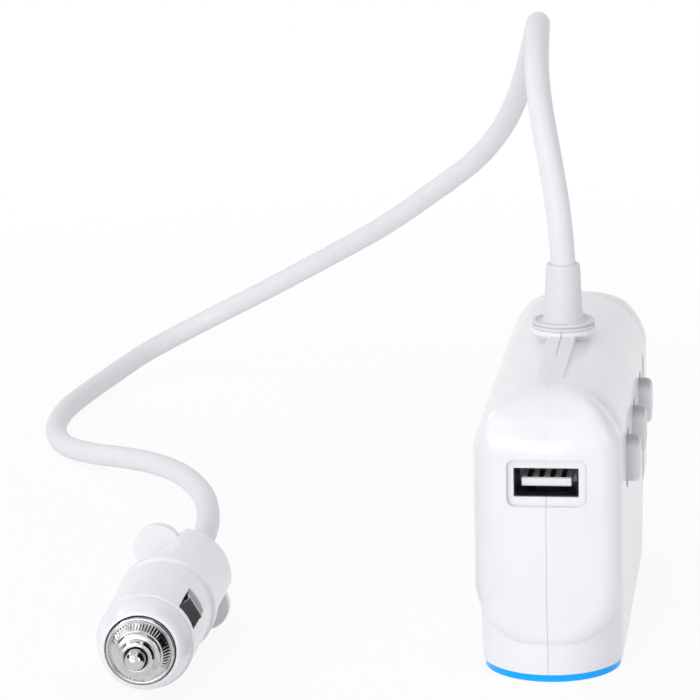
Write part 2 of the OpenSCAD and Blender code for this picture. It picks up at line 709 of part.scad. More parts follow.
// Barrel with two side windows and a spigot for the handle
module plug_barrel() color("white") on_plug() difference() {
    union() {
        translate([0, 0, cap_len]) cylinder(h = barrel_len, d = barrel_d);
        translate([0, 0, barrel_end - over]) cylinder(h = spigot_len + over, r = spigot_r);
    }
    translate([0, 0, cap_len - over]) cylinder(h = window_z + window_len + 2.4 - cap_len + over, r = barrel_in_r);
    translate([0, 0, cap_len]) cylinder(h = plug_len, r = tube_out_r + touch);
    for (direction = [contact_dir, contact_dir + 180]) facing(direction)
        translate([0, -window_w / 2, window_z]) cube([barrel_d, window_w, window_len]);
    // Slots that grip the side contacts
    for (direction = [contact_dir, contact_dir + 180]) facing(direction)
        translate([strip_seat_r - strip_t - slack, -window_w / 2, window_z])
            cube([strip_t + 2 * slack, window_w, window_len + 5.5]);
}
strip_seat_r = barrel_in_r - slack;

// White cap that tapers to the nose ring
module plug_nose_cap() color("white") on_plug() rotate_extrude() polygon([
    [ring_d / 2 + touch, 0.2], [ring_d / 2 + 0.35, 0], [ring_d / 2 + 0.95, 0.4],
    [ring_d / 2 + 1.6, cap_len * 0.25], [ring_d / 2 + 2.15, cap_len * 0.5],
    [barrel_d / 2 - 0.6, cap_len * 0.8], [barrel_d / 2 - 0.4, cap_len],
    [barrel_in_r - touch, cap_len], [barrel_in_r - touch, cap_len + 0.8],
    [ring_foot_r + touch, cap_len + 0.8], [ring_foot_r + touch, 3], [ring_d / 2 + touch, 3]]);
ring_foot_r = 6;

// Bright nose ring: a fluted nut with a stepped cone round the pin
module plug_nose_ring() color("silver") on_plug() difference() {
    pin_hole_r = pin_d / 2 + slack;
    rotate_extrude() polygon([
        [pin_hole_r, -5], [pin_hole_r + 0.6, -5.2], [pin_hole_r + 1.2, -4.6],
        [pin_hole_r + 1.4, -3.6], [pin_hole_r + 2, -3.4], [pin_hole_r + 2.4, -2.2],
        [ring_d / 2 - 0.9, -0.7], [ring_d / 2 - 0.7, 0], [ring_d / 2 - 0.2, -0.2],
        [ring_d / 2, 0.2], [ring_d / 2, 3], [ring_foot_r, 3], [ring_foot_r, 6],
        [pin_hole_r + 1.4, 6], [pin_hole_r + 1.4, pin_flange_z - slack], [pin_hole_r, pin_flange_z - slack]]);
    // Flutes round the cone
    flutes = 36;
    for (i = [0:flutes - 1]) rotate([0, 0, 360 * i / flutes])
        translate([ring_d / 2 - 1.45, 0, -2.9]) rotate([0, 40, 0]) cylinder(h = 2.6, d = 0.5, $fn = 16);
}

// Sprung centre pin with a domed tip and a shoulder
module plug_pin() color("silver") on_plug() rotate_extrude() {
    tip_r = pin_d / 2;
    intersection() {
        translate([0, tip_r - pin_out]) circle(tip_r);
        translate([0, -pin_out]) square([tip_r, tip_r]);
    }
    translate([0, tip_r - pin_out]) square([tip_r, pin_out - tip_r + pin_flange_z]);
    translate([0, pin_flange_z]) square([fuse_d / 2, pin_flange_t]);
}

// Glass body of the fuse, and its two metal ends
fuse_cap_len = 6;
module plug_fuse() color([0.85, 0.9, 0.9, 0.6]) on_plug()
    translate([0, 0, fuse_z + fuse_cap_len]) cylinder(h = fuse_len - 2 * fuse_cap_len, d = fuse_d - 0.4);
module fuse_caps() color("silver") on_plug() for (z = [fuse_z, fuse_end - fuse_cap_len])
    translate([0, 0, z]) cylinder(h = fuse_cap_len, d = fuse_d);

// Insulating tube that guides the fuse and its spring
module plug_fuse_tube() color([0.8, 0.8, 0.78]) on_plug() difference() {
    translate([0, 0, tube_z + 0.9]) cylinder(h = tube_end - tube_z - 0.9, r = tube_out_r);
    translate([0, 0, tube_z]) cylinder(h = spring_end + terminal_t - tube_z, r = tube_in_r);
}

// Brass disc that the spring bears on
module plug_terminal() color([0.85, 0.7, 0.35]) on_plug()
    translate([0, 0, spring_end]) cylinder(h = terminal_t, r = tube_in_r - touch);

// Coil spring between the fuse and the terminal
wire_r = 0.4;
coil_r = 2.3;
coil_turns = 5;
module plug_spring() color("silver") on_plug() {
    per_turn = 12;
    rise = spring_len - 2 * wire_r - 0.1;
    path = [for (i = [0:coil_turns * per_turn]) let (turn = 360 * i / per_turn)
        [coil_r * cos(turn), coil_r * sin(turn),
         fuse_end + wire_r + 0.05 + rise * i / (coil_turns * per_turn)]];
    swept_bar(path, [0, 1, 0], [0, 1, 0], wire_r, 6, [1, 0, 0]);
}

// Bent spring strip that leans out of its window
module side_contact(direction) color("silver") on_plug() facing(direction) {
    outer = strip_seat_r;
    crest = barrel_d / 2 + contact_out;
    crest_z = window_z + window_len * 0.45;
    strip_w = window_w - 2 * slack - 0.3;
    line = [[outer, window_z + window_len + 4.5], [outer, window_z + window_len - 0.8],
            [crest - 0.3, crest_z + 1.1], [crest, crest_z], [crest - 0.3, crest_z - 0.9],
            [outer + 0.1, window_z + 1.4], [outer - 0.5, window_z + 0.2]];
    back = [for (i = [len(line) - 1:-1:0]) line[i] - [strip_t, 0]];
    rotate([90, 0, 0]) linear_extrude(strip_w, center = true) polygon(concat(line, back));
}
module right_side_contact() side_contact(contact_dir);
module left_side_contact() side_contact(contact_dir + 180);

housing_left();
housing_right();
base_plate();
front_socket_liner();
middle_socket_liner();
rear_socket_liner();
front_socket_cup();
middle_socket_cup();
rear_socket_cup();
front_socket_contact();
middle_socket_contact();
rear_socket_contact();
front_switch_cap();
middle_switch_cap();
rear_switch_cap();
front_switch_body();
middle_switch_body();
rear_switch_body();
circuit_board();
board_parts();
port_shell();
port_tongue();
port_contacts();
housing_screws();
lead_guide();
lead_wires();
lead();
plug_relief();
plug_handle();
plug_barrel();
plug_nose_cap();
plug_nose_ring();
plug_pin();
plug_fuse();
fuse_caps();
plug_fuse_tube();
plug_spring();
plug_terminal();
right_side_contact();
left_side_contact();
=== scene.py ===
# %% [markdown]
# A car's 12 V splitter: a white hub with three sockets under it, a charging port in its
# near end, three frosted push switches, and a stiff white lead that ends in a fused plug.
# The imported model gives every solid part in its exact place. This file gives the parts
# their finishes, and swaps the parts that deserve finer shapes for surfaces made here.

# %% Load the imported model
import json
import math

import bmesh
import bpy
import numpy as np
from mathutils import Matrix


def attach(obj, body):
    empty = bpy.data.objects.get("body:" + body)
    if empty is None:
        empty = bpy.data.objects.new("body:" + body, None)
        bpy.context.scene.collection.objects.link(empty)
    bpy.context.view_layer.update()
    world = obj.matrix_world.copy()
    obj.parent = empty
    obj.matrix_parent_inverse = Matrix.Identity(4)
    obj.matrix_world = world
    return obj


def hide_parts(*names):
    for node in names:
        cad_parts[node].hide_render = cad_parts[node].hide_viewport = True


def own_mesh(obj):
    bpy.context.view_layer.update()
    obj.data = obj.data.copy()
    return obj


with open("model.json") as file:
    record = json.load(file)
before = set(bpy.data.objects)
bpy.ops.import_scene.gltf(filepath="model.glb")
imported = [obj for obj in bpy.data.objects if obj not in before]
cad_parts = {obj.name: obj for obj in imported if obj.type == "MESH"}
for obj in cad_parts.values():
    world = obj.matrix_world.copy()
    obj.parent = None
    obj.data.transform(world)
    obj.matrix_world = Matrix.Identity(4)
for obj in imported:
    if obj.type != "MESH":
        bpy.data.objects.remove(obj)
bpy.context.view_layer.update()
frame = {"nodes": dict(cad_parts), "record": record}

NODES = frame["nodes"]
MM = 0.001

# %% [markdown]
# The photograph was taken with a long lens from a little above the near end of the hub,
# slightly to its right and slightly tilted. A camera can be aimed by eye or by a
# constraint. Here its place and angles are written down, because they were fitted to the
# known sizes of the port and the plug, and the same numbers give the same picture each
# time.

# %% Camera
CAMERA_PLACE = (60.8 * MM, -831.0 * MM, 261.8 * MM)
CAMERA_YAW, CAMERA_DOWN, CAMERA_TILT = 7.35, 13.70, -1.24
PICTURE_SIDE, FOCAL_PIXELS, SENSOR = 700, 3978.0, 36.0

camera_data = bpy.data.cameras.new("studio_camera")
camera_data.sensor_width = SENSOR
camera_data.lens = FOCAL_PIXELS / PICTURE_SIDE * SENSOR
camera = bpy.data.objects.new("studio_camera", camera_data)
bpy.context.scene.collection.objects.link(camera)
camera.matrix_world = (
    Matrix.Translation(CAMERA_PLACE)
    @ Matrix.Rotation(math.radians(CAMERA_YAW), 4, "Z")
    @ Matrix.Rotation(math.radians(90 - CAMERA_DOWN), 4, "X")
    @ Matrix.Rotation(math.radians(CAMERA_TILT), 4, "Z")
)
bpy.context.scene.camera = camera
print("lens %.1f mm" % camera_data.lens)

# %% [markdown]
# Primitives and modifiers could make many of the new pieces. Here most are grids of
# points instead: a function of two parameters fills an array of rows and columns, so that
# every size stays readable in its formula, and one helper turns any such grid into a
# closed mesh. Points that meet at a pole are merged, and the faces are then turned
# outwards.

# %% Mesh helpers


def grid_quads(rows, columns, wrap_rows=False):
    """Corners of each quad: a point, the next row, the next of both, the next column."""
    i, j = np.meshgrid(np.arange(rows if wrap_rows else rows - 1), np.arange(columns),
                       indexing="ij")
    down, right = (i + 1) % rows, (j + 1) % columns
    return np.stack([i * columns + j, down * columns + j,
                     down * columns + right, i * columns + right], axis=-1).reshape(-1, 4)


def capped_quads(rows, columns):
    """The quads of a tube of rings, with its first and last ring as flat ends."""
    last = (rows - 1) * columns
    ends = [list(range(columns)), list(range(last, last + columns))]
    return grid_quads(rows, columns).tolist() + ends


def make_piece(name, points_mm, faces, sharp=40):
    """A closed mesh object from points in millimetres and lists of face corners."""
    mesh = bpy.data.meshes.new(name)
    mesh.from_pydata((np.asarray(points_mm, float) * MM).tolist(), [], faces)
    shape = bmesh.new()
    shape.from_mesh(mesh)
    bmesh.ops.remove_doubles(shape, verts=shape.verts, dist=1e-7)
    bmesh.ops.recalc_face_normals(shape, faces=shape.faces)
    shape.to_mesh(mesh)
    shape.free()
    mesh.polygons.foreach_set("use_smooth", np.ones(len(mesh.polygons), bool))
    mesh.set_sharp_from_angle(angle=math.radians(sharp))
    piece = bpy.data.objects.new(name, mesh)
    bpy.context.scene.collection.objects.link(piece)
    print("%s: %d faces" % (name, len(mesh.polygons)))
    return piece


# %% [markdown]
# A new piece has to say which body it moves with, which kind of material it has and which
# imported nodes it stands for. One helper says all three for every piece, and keeps a list
# from which the finishes are given out at the end.

# %% Placing a piece
PIECES = []


def place(piece, body, slot, *replaced, finish=None):
    """The piece rides on a body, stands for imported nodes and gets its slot's finish.

    A finish of another name is used where one piece needs its own look.
    """
    PIECES.append((piece, finish or slot))
    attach(piece, body)
    if replaced:
        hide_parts(*replaced)
    return piece


# %% [markdown]
# The lead leaves the sleeve on the roof, arches over by its own stiffness, comes down
# behind the hub to the left, rests on the table and turns back into the plug. A curve
# object would draw it too. Listed points with a cubic between them were taken, the same
# points as in the part's source, because the length can then be measured on the very
# line that is drawn.

# %% Middle line of the lead
SLEEVE_TOP = 77.1
LEAD_R = 2.65
LEAD_POINTS = np.array([
    (0, 0, SLEEVE_TOP),
    (-0.4, 0, 83.5), (-1.2, 0.8, 90), (-2.5, 3, 97), (-4.2, 7, 104.5),
    (-5.6, 11.8, 110.5), (-6.6, 18, 115.5), (-7.2, 26, 119.3), (-7.8, 36, 121.4),
    (-8.6, 48, 121.2), (-10, 62, 118.3), (-12, 77, 112.5), (-14.6, 92, 104.6),
    (-18, 107, 95.2), (-22.3, 121, 85.8), (-27.2, 133, 78), (-32.5, 143, 71.4),
    (-38.8, 152, 65.3), (-46, 161, 59), (-54, 171, 52), (-63.5, 182.5, 44.4),
    (-74.5, 194, 36.6), (-86, 203, 29), (-97.8, 209, 21.8), (-108.8, 211.9, 15.7),
    (-119.6, 210.2, 10.3), (-128.6, 202, 6.5), (-134.6, 188.5, 4.1), (-138.9, 172.5, 3),
    (-141.4, 155, 2.65), (-140.2, 136, 2.65), (-134.6, 119.5, 2.9), (-125.2, 107.5, 4.1),
    (-114.8, 98.4, 5.5), (-105.5, 88.2, 6.8), (-96.5, 73.5, 8.1), (-88.7, 53, 9.5),
    (-84, 32, 10.6), (-81.8, 13, 11.4), (-81.6, -4.6, 11.58)])


def smooth_line(points, parts):
    """Points on a smooth curve through the given ones.

    Between the second and third of four neighbours a, b, c, d the point at fraction t is
    half of 2b + (c - a) t + (2a - 5b + 4c - d) t^2 + (3b - a - 3c + d) t^3.
    """
    p = np.vstack([points[:1], points, points[-1:]])
    a, b, c, d = (p[k:len(p) - 3 + k, None, :] for k in range(4))
    t = (np.arange(parts) / parts)[None, :, None]
    curve = 0.5 * (2 * b + (c - a) * t + (2 * a - 5 * b + 4 * c - d) * t ** 2
                   + (3 * b - a - 3 * c + d) * t ** 3)
    return np.vstack([curve.reshape(-1, 3), points[-1:]])


lead_line = smooth_line(LEAD_POINTS, 10)

# %% [markdown]
# The jacket is a tube of rings round that line. A curve with a round bevel would give it
# in one step, but not closed at its ends. Here each ring's side direction is carried over
# from the ring before, so that the tube doesn't twist in a bend, and a flat face closes
# each end.

# %% Jacket of the lead


def tube_along(line, radius, sides, first, last):
    """Rings round a line: each point plus r (cos v * side + sin v * across).

    The side direction is carried from ring to ring without twisting.
    """
    ahead = np.gradient(line, axis=0)
    ahead[0], ahead[-1] = first, last
    ahead /= np.linalg.norm(ahead, axis=1)[:, None]
    side = np.empty_like(line)
    carried = np.array([1.0, 0.0, 0.0])
    for k, direction in enumerate(ahead):
        carried = carried - direction * carried.dot(direction)
        carried /= np.linalg.norm(carried)
        side[k] = carried
    across = np.cross(ahead, side)
    v = np.linspace(0, 2 * math.pi, sides, endpoint=False)[None, :, None]
    outward = np.cos(v) * side[:, None, :] + np.sin(v) * across[:, None, :]
    return line[:, None, :] + radius * outward


def capped_tube(name, line, radius, sides, first, last):
    """A closed tube with flat ends, which starts and stops in the given directions."""
    rings = tube_along(line, radius, sides, first, last)
    return make_piece(name, rings.reshape(-1, 3), capped_quads(len(line), sides))


lead_jacket = capped_tube("lead_jacket", lead_line, LEAD_R, 28, (0, 0, 1), (0, -1, 0))
place(lead_jacket, "hub", "white_vinyl", "lead")

# %% [markdown]
# Sleeve, nut, cap, pin and switches are turned or moulded round parts. A Screw modifier
# would carry a profile round as well. The grid is worked out here because the radius may
# then change round the axis, as flutes need. A profile is a list of (radius, distance)
# corners, and each corner is first rounded off, because no real edge is a knife edge and
# a rounded edge catches the light.

# %% Profiles carried round an axis
HUB_AXIS = np.array([[0, 0, 0], [1, 0, 0], [0, 1, 0], [0, 0, 1]], float)
PLUG_AXIS = np.array([[-81.6, -71, 11.58], [1, 0, 0], [0, 0, 1], [0, 1, 0]])


def soften(profile, radius, steps=4, closed=False):
    """The profile with each corner swapped for a curve from r before it to r after it.

    The curve's points are (1-t)^2 * start + 2t(1-t) * corner + t^2 * end, and r is at
    most 45 percent of the shorter side at that corner.
    """
    p = np.asarray(profile, float)
    count = len(p)
    t = np.linspace(0, 1, steps)[:, None]
    out = []
    for k in range(count):
        if not closed and k in (0, count - 1):
            out.append(p[k][None])
            continue
        before, after = p[k - 1] - p[k], p[(k + 1) % count] - p[k]
        reach = min(radius, 0.45 * np.linalg.norm(before), 0.45 * np.linalg.norm(after))
        start = p[k] + before / np.linalg.norm(before) * reach
        end = p[k] + after / np.linalg.norm(after) * reach
        out.append((1 - t) ** 2 * start + 2 * t * (1 - t) * p[k] + t ** 2 * end)
    return np.vstack(out)


def lathe(name, profile, axis, sides=96, closed=False, radius_at=None):
    """A profile carried round an axis: origin + r cos v * A + r sin v * B + h * C.

    radius_at(r, h, v) may change the radius round the axis, as flutes do.
    """
    r, h = (np.asarray(profile, float)[:, k][:, None] for k in (0, 1))
    v = np.linspace(0, 2 * math.pi, sides, endpoint=False)[None, :]
    r = radius_at(r, h, v) if radius_at else r + 0 * v
    h = h + 0 * v
    origin, a, b, c = axis
    points = (origin + (r * np.cos(v))[..., None] * a + (r * np.sin(v))[..., None] * b
              + h[..., None] * c)
    quads = grid_quads(len(profile), sides, wrap_rows=closed)
    return make_piece(name, points.reshape(-1, 3), quads.tolist())


# %% [markdown]
# A material can be wired by hand in the shader editor, but its maths reads best as plain
# expressions. A Link wraps one output of a node, and arithmetic between links and numbers
# adds the Math nodes.

# %% Links


class Link:
    """One output of a node; + - * ** with numbers or other links add Math nodes."""

    def __init__(self, nodes, socket):
        self.nodes, self.socket = nodes, socket

    def also(self, name):
        """Another output of the same node, by its name or number."""
        return Link(self.nodes, self.socket.node.outputs[name])

    def __add__(self, other):
        return self.nodes.math("ADD", self, other)

    def __sub__(self, other):
        return self.nodes.math("SUBTRACT", self, other)

    def __rsub__(self, other):
        return self.nodes.math("SUBTRACT", other, self)

    def __mul__(self, other):
        return self.nodes.math("MULTIPLY", self, other)

    def __pow__(self, other):
        return self.nodes.math("POWER", self, other)

    __radd__, __rmul__ = __add__, __mul__


# %% [markdown]
# Nodes adds any other node to a tree: its settings come first, then the values or links
# of its sockets. Colours and vectors go through nodes of their own kind, because a Math
# node would turn a colour grey.

# %% Nodes of a material or world


class Nodes:
    """A node tree that is written as code: node() adds a node, math() a Math node."""

    def __init__(self, tree):
        self.tree = tree

    def set(self, node, socket, value):
        """Gives a socket a number or colour, or links another node's output to it."""
        target = node.inputs[socket]
        if isinstance(value, Link):
            self.tree.links.new(value.socket, target)
        elif isinstance(value, tuple) and len(value) == 3 and target.type == "RGBA":
            target.default_value = (*value, 1.0)
        else:
            target.default_value = value

    def node(self, kind, settings=None, output=0, **values):
        """Adds a node; its settings come first, then its sockets by name or _number."""
        made = self.tree.nodes.new("ShaderNode" + kind)
        for name, value in (settings or {}).items():
            setattr(made, name, value)
        for socket, value in values.items():
            key = int(socket[1:]) if socket[0] == "_" else socket.replace("_", " ")
            self.set(made, key, value)
        return Link(self, made.outputs[output]) if len(made.outputs) else None

    def math(self, operation, a, b=0.0):
        return self.node("Math", {"operation": operation}, _0=a, _1=b)


# %% [markdown]
# A Finish is one material, with the patterns that plastic, rubber and metal are made of
# here: noise, bands and bumps. They are read at the piece's own coordinates and not at
# the world's, so that they stay on a piece when it moves.

# %% Finishes


class Finish(Nodes):
    """One material under construction, with the patterns that the finishes here share."""

    def __init__(self, name, **shader):
        self.material = bpy.data.materials.new(name)
        self.material.use_nodes = True
        super().__init__(self.material.node_tree)
        self.shader = self.tree.nodes["Principled BSDF"]
        for socket, value in shader.items():
            self.set(self.shader, socket.replace("_", " "), value)

    def mix(self, factor, low, high):
        """Colour that goes from low to high as the factor goes from 0 to 1."""
        return self.node("Mix", {"data_type": "RGBA"}, output=2, _0=factor, _6=low, _7=high)

    def spot(self):
        """The shaded spot in the piece's own coordinates, in metres."""
        return self.node("TexCoord", output=3)

    def axes(self):
        """The three coordinates of the spot, as separate links."""
        split = self.node("SeparateXYZ", Vector=self.spot())
        return [split.also(k) for k in range(3)]

    def noise(self, per_mm, detail=3.0, roughness=0.5, where=None):
        """Soft noise with about this many grains to a millimetre, from 0 to 1."""
        return self.node("TexNoise", Vector=where or self.spot(), Scale=per_mm / MM,
                         Detail=detail, Roughness=roughness)

    def band(self, value, low, high):
        """0 below low, 1 above high, and a smooth slope between."""
        return self.node("MapRange", {"interpolation_type": "SMOOTHSTEP"}, Value=value,
                         From_Min=low, From_Max=high)

    def bump(self, height, depth_mm, strength, under=None):
        """Normals tilted by a height from 0 to 1 that stands for this depth."""
        values = {"Height": height, "Distance": depth_mm * MM, "Strength": strength}
        if under is not None:
            values["Normal"] = under
        return self.node("Bump", **values)

    def done(self, **linked):
        """Links the sockets that change over the surface and hands over the material."""
        for socket, value in linked.items():
            self.set(self.shader, socket.replace("_", " "), value)
        print("finish %s: %d nodes" % (self.material.name, len(self.tree.nodes)))
        return self.material


FINISHES = {}

# %% [markdown]
# The hub is a glossy white moulding in two halves that meet in the middle. A plain white
# shader would look like paper. This one is a touch cooler, with a slight waviness left by
# the mould, a thin clear coat and a little light let in. The halves are solids that
# touch, so their joint is drawn in the finish: a hair-thin grey line with a shallow bump
# where x is zero.

# %% White moulded housing


def white_moulding(name, seam):
    """White plastic: faint cloudiness, fine grain, soft waves and, if asked, a seam."""
    f = Finish(name, IOR=1.49, Coat_Weight=0.35, Coat_Roughness=0.08,
               Subsurface_Weight=0.08, Subsurface_Scale=0.002)
    cloud = f.noise(0.06, 2.0)
    grain = f.noise(4.0, 2.0)
    wave = f.noise(0.03, 1.0)
    colour = f.mix(cloud, (0.80, 0.795, 0.825), (0.86, 0.855, 0.885))
    relief = f.bump(wave, 0.12, 0.5, f.bump(grain, 0.004, 0.6))
    if seam:
        x, y, z = f.axes()
        line = 1.0 - f.band(f.math("ABSOLUTE", x), 0.04 * MM, 0.13 * MM)
        over_roof = f.band(z, 62.05 * MM, 62.15 * MM)
        over_port = f.band(z, 45.0 * MM, 46.0 * MM)
        depth = line * (0.45 - over_port * 0.35 + over_roof * 0.8)
        colour = f.mix(depth, colour, (0.30, 0.31, 0.33))
        relief = f.bump(1.0 - depth, 0.1, 0.8, relief)
    rough = 0.24 + grain * 0.06 + cloud * 0.05
    return f.done(Base_Color=colour, Roughness=rough, Normal=relief)


FINISHES["white_plastic"] = white_moulding("white_moulding", seam=True)
FINISHES["plug_plastic"] = white_moulding("plug_moulding", seam=False)
FINISHES["port_plastic"] = white_moulding("port_moulding", seam=False)

# %% [markdown]
# The plate under the hub is dyed plastic. Light enters its edge, so it looks deep and
# bright at once. Scattered light would show that too, but takes many samples. A strong
# base colour with a thin clear coat and a faint painted glow, which stands in for that
# light, does it simply.

# %% Blue base plate
# The emission is painted light: a faint blue glow of the plate's own.
f = Finish("blue_plate", IOR=1.45, Coat_Weight=0.1, Coat_Roughness=0.1,
           Specular_IOR_Level=0.25, Emission_Color=(0.0, 0.38, 0.85), Emission_Strength=0.2)
cloud = f.noise(0.15, 2.0)
grain = f.noise(5.0, 2.0)
FINISHES["blue_plastic"] = f.done(
    Base_Color=f.mix(cloud, (0.0, 0.31, 0.80), (0.0, 0.37, 0.90)),
    Roughness=0.20 + grain * 0.08, Normal=f.bump(grain, 0.003, 0.5))

# %% [markdown]
# Soft white vinyl covers the lead, and the sleeves at its two ends are moulded from the
# same sort of plastic. Both are satin rather than glossy. A fine even grain in gloss and
# bump is enough for them, with slight marks of handling in the colour, and one function
# gives both.

# %% Soft vinyl and sleeves


def soft_white(name, tint, satin, depth_mm):
    """Soft plastic: pale tint, satin gloss, even grain and slight handling marks."""
    f = Finish(name, IOR=1.46, Specular_IOR_Level=0.4)
    grain = f.noise(1.2, 1.5, 0.5)
    marks = f.noise(0.3, 2.0)
    shade = tuple(c * 0.965 for c in tint)
    return f.done(Base_Color=f.mix(f.band(marks, 0.2, 0.9), tint, shade),
                  Roughness=satin + grain * 0.06,
                  Normal=f.bump(grain, depth_mm, 0.5))


FINISHES["white_vinyl"] = soft_white("soft_vinyl", (0.80, 0.795, 0.825), 0.38, 0.004)
FINISHES["white_rubber"] = soft_white("soft_sleeve", (0.75, 0.745, 0.77), 0.42, 0.008)

# %% [markdown]
# The switch caps are frosted and let light through, so they look milky and a little grey
# against the white housing, and darker along the top, where the housing's hole shades
# them. Glass would be too clear for that. Light is let in and scattered instead. The
# darker top is painted shade: a soft band in the base colour over the cap's height.

# %% Frosted caps
f = Finish("frosted_cap", IOR=1.49, Subsurface_Weight=0.5, Subsurface_Scale=0.003,
           Coat_Weight=0.15, Coat_Roughness=0.2)
etch = f.noise(9.0, 2.0)
# Painted shade: the base colour darkens towards the top of the cap.
upper = f.band(f.axes()[2] + f.noise(0.2, 2.0) * 0.8 * MM, 44.0 * MM, 46.6 * MM)
FINISHES["frosted_plastic"] = f.done(
    Base_Color=f.mix(upper, (0.76, 0.765, 0.80), (0.36, 0.365, 0.39)),
    Roughness=0.3 + etch * 0.12, Normal=f.bump(etch, 0.006, 0.5))

# %% [markdown]
# Plated steel lines the sockets, nickel shines on the plug's nose, brass makes the inner
# contacts, and drawn or rolled steel the spring and the side strips. The port's shell and
# contacts are dark copies of steel and brass, coloured nearly black as painted shade for
# the inside of the port. One function makes them all, because they differ in tint, gloss
# and grain only. Its faint lines and spots break up the reflections, which would look
# painted on without them.

# %% Metals


def metal(name, light, dark, gloss, per_mm, depth_mm, stretch=(1.0, 1.0, 1.0)):
    """Metal whose colour, gloss and skin vary with a noise that may be stretched."""
    f = Finish(name, Metallic=1.0)
    lined = f.node("Mapping", Vector=f.spot(), Scale=stretch)
    skin = f.noise(per_mm, 4.0, 0.6, lined)
    spots = f.band(f.noise(0.35, 3.0), 0.45, 0.75)
    return f.done(Base_Color=f.mix(spots, light, dark),
                  Roughness=gloss + skin * 0.12 + spots * 0.08,
                  Normal=f.bump(skin, depth_mm, 0.5))


FINISHES["plated_steel"] = metal("plated_steel", (0.74, 0.75, 0.77), (0.60, 0.61, 0.63),
                                 0.16, 1.2, 0.004, (1.0, 1.0, 0.15))
FINISHES["bright_nickel"] = metal("bright_nickel", (0.60, 0.60, 0.605), (0.45, 0.45, 0.46),
                                  0.07, 1.5, 0.004)
# Painted shade: the port's tin is coloured nearly black for the dark inside of the port.
FINISHES["port_shade_steel"] = metal("port_shade_steel", (0.07, 0.07, 0.075), (0.04, 0.04, 0.045),
                               0.30, 1.2, 0.004)
# Painted shade: the port's contacts are a dark copy of the contact brass.
FINISHES["port_shade_brass"] = metal("port_shade_brass", (0.20, 0.15, 0.07), (0.12, 0.09, 0.04),
                               0.30, 1.5, 0.004)
FINISHES["contact_brass"] = metal("contact_brass", (0.83, 0.62, 0.27), (0.62, 0.44, 0.17),
                                  0.20, 1.5, 0.004)
FINISHES["strip_steel"] = metal("strip_steel", (0.50, 0.50, 0.51), (0.36, 0.36, 0.37),
                                0.34, 2.5, 0.02)
FINISHES["spring_steel"] = metal("spring_steel", (0.56, 0.57, 0.59), (0.40, 0.41, 0.43),
                                 0.24, 3.0, 0.006)

# %% [markdown]
# The insulators inside are matt black or grey mouldings, and the wires have a red skin.
# They hardly show, but each gets a finish of its own, so that the model also looks right
# when it is opened. One function is enough for three of them.

# %% Insulators


def matt(name, light, dark, gloss):
    """Matt moulded plastic with a rough grain and slight cloudiness."""
    f = Finish(name, IOR=1.5)
    grain = f.noise(3.0, 4.0, 0.65)
    return f.done(Base_Color=f.mix(f.noise(0.1, 3.0), dark, light),
                  Roughness=gloss + grain * 0.15, Normal=f.bump(grain, 0.01, 0.6))


FINISHES["black_plastic"] = matt("black_insulator", (0.035, 0.035, 0.038),
                                 (0.018, 0.018, 0.02), 0.45)
FINISHES["grey_plastic"] = matt("grey_insulator", (0.55, 0.55, 0.53),
                                (0.45, 0.45, 0.43), 0.45)
FINISHES["wire_insulation"] = matt("wire_insulation", (0.45, 0.04, 0.03),
                                   (0.30, 0.02, 0.02), 0.35)

# %% [markdown]
# The circuit board is green lacquer over woven glass, and the fuse has a clear body. A
# noise cut at its middle gives the weave, and the fuse lets light through with faint
# smears in its gloss.

# %% Board and fuse
f = Finish("green_board", IOR=1.5, Coat_Weight=0.4, Coat_Roughness=0.15)
weave = f.noise(1.6, 2.0)
FINISHES["board_green"] = f.done(
    Base_Color=f.mix(f.band(weave, 0.4, 0.6), (0.02, 0.16, 0.07), (0.03, 0.24, 0.11)),
    Roughness=0.3 + weave * 0.1, Normal=f.bump(weave, 0.01, 0.4))

f = Finish("fuse_glass", IOR=1.5, Transmission_Weight=0.9)
smear = f.noise(0.4, 2.0)
FINISHES["fuse_glass"] = f.done(
    Base_Color=f.mix(smear, (0.86, 0.92, 0.90), (0.94, 0.97, 0.96)),
    Roughness=0.04 + smear * 0.05)
print("finishes:", ", ".join(sorted(FINISHES)))

# %% [markdown]
# The soft guide on the roof keeps the lead from kinking. It has a foot under the roof, a
# waist, two thin discs with a groove between them, a dished top and a long sleeve that
# hugs the lead. Stacked cylinders would leave hard joints between these, so one profile
# runs over all of them.

# %% Lead guide
ROOF_COLLAR = 63.4
guide = soften([
    (0, 57.3), (4.8, 57.3), (5.2, 57.7), (5.2, 58.9), (4.1, 58.9), (4.1, ROOF_COLLAR),
    (6.8, ROOF_COLLAR), (6.8, 64.02), (6.25, 64.1), (6.25, 64.24), (6.72, 64.34),
    (6.72, 64.9), (6.0, 64.95), (5.6, 64.45), (4.85, 64.5), (4.3, 65.3), (4.05, 67.5),
    (3.65, 76.4), (3.5, SLEEVE_TOP), (0, SLEEVE_TOP)], 0.22)
place(lathe("guide_turned", guide, HUB_AXIS), "hub", "white_rubber", "lead_guide")

# %% [markdown]
# The plug is turned and moulded round its own axis. Its nose is a bright nut with fine
# flutes round a stepped cone. A bump pattern could draw the flutes, but polished metal
# shows its true outline, so they are in the shape: the radius swings with the cosine of
# the angle.

# %% Nose of the plug
RING_R, PIN_HOLE_R = 7.15, 2.4
FLUTES, FLUTE_DEPTH = 56, 0.13
FLUTED_FROM, FLUTED_TO = -2.55, -0.72


def fluted(r, h, v):
    """r - depth * (1 + cos(n v)) / 2 between the cone's two ends, plain elsewhere."""
    inside = (h > FLUTED_FROM) & (h < FLUTED_TO) & (r > 5)
    return r - inside * FLUTE_DEPTH * (1 + np.cos(FLUTES * v)) / 2


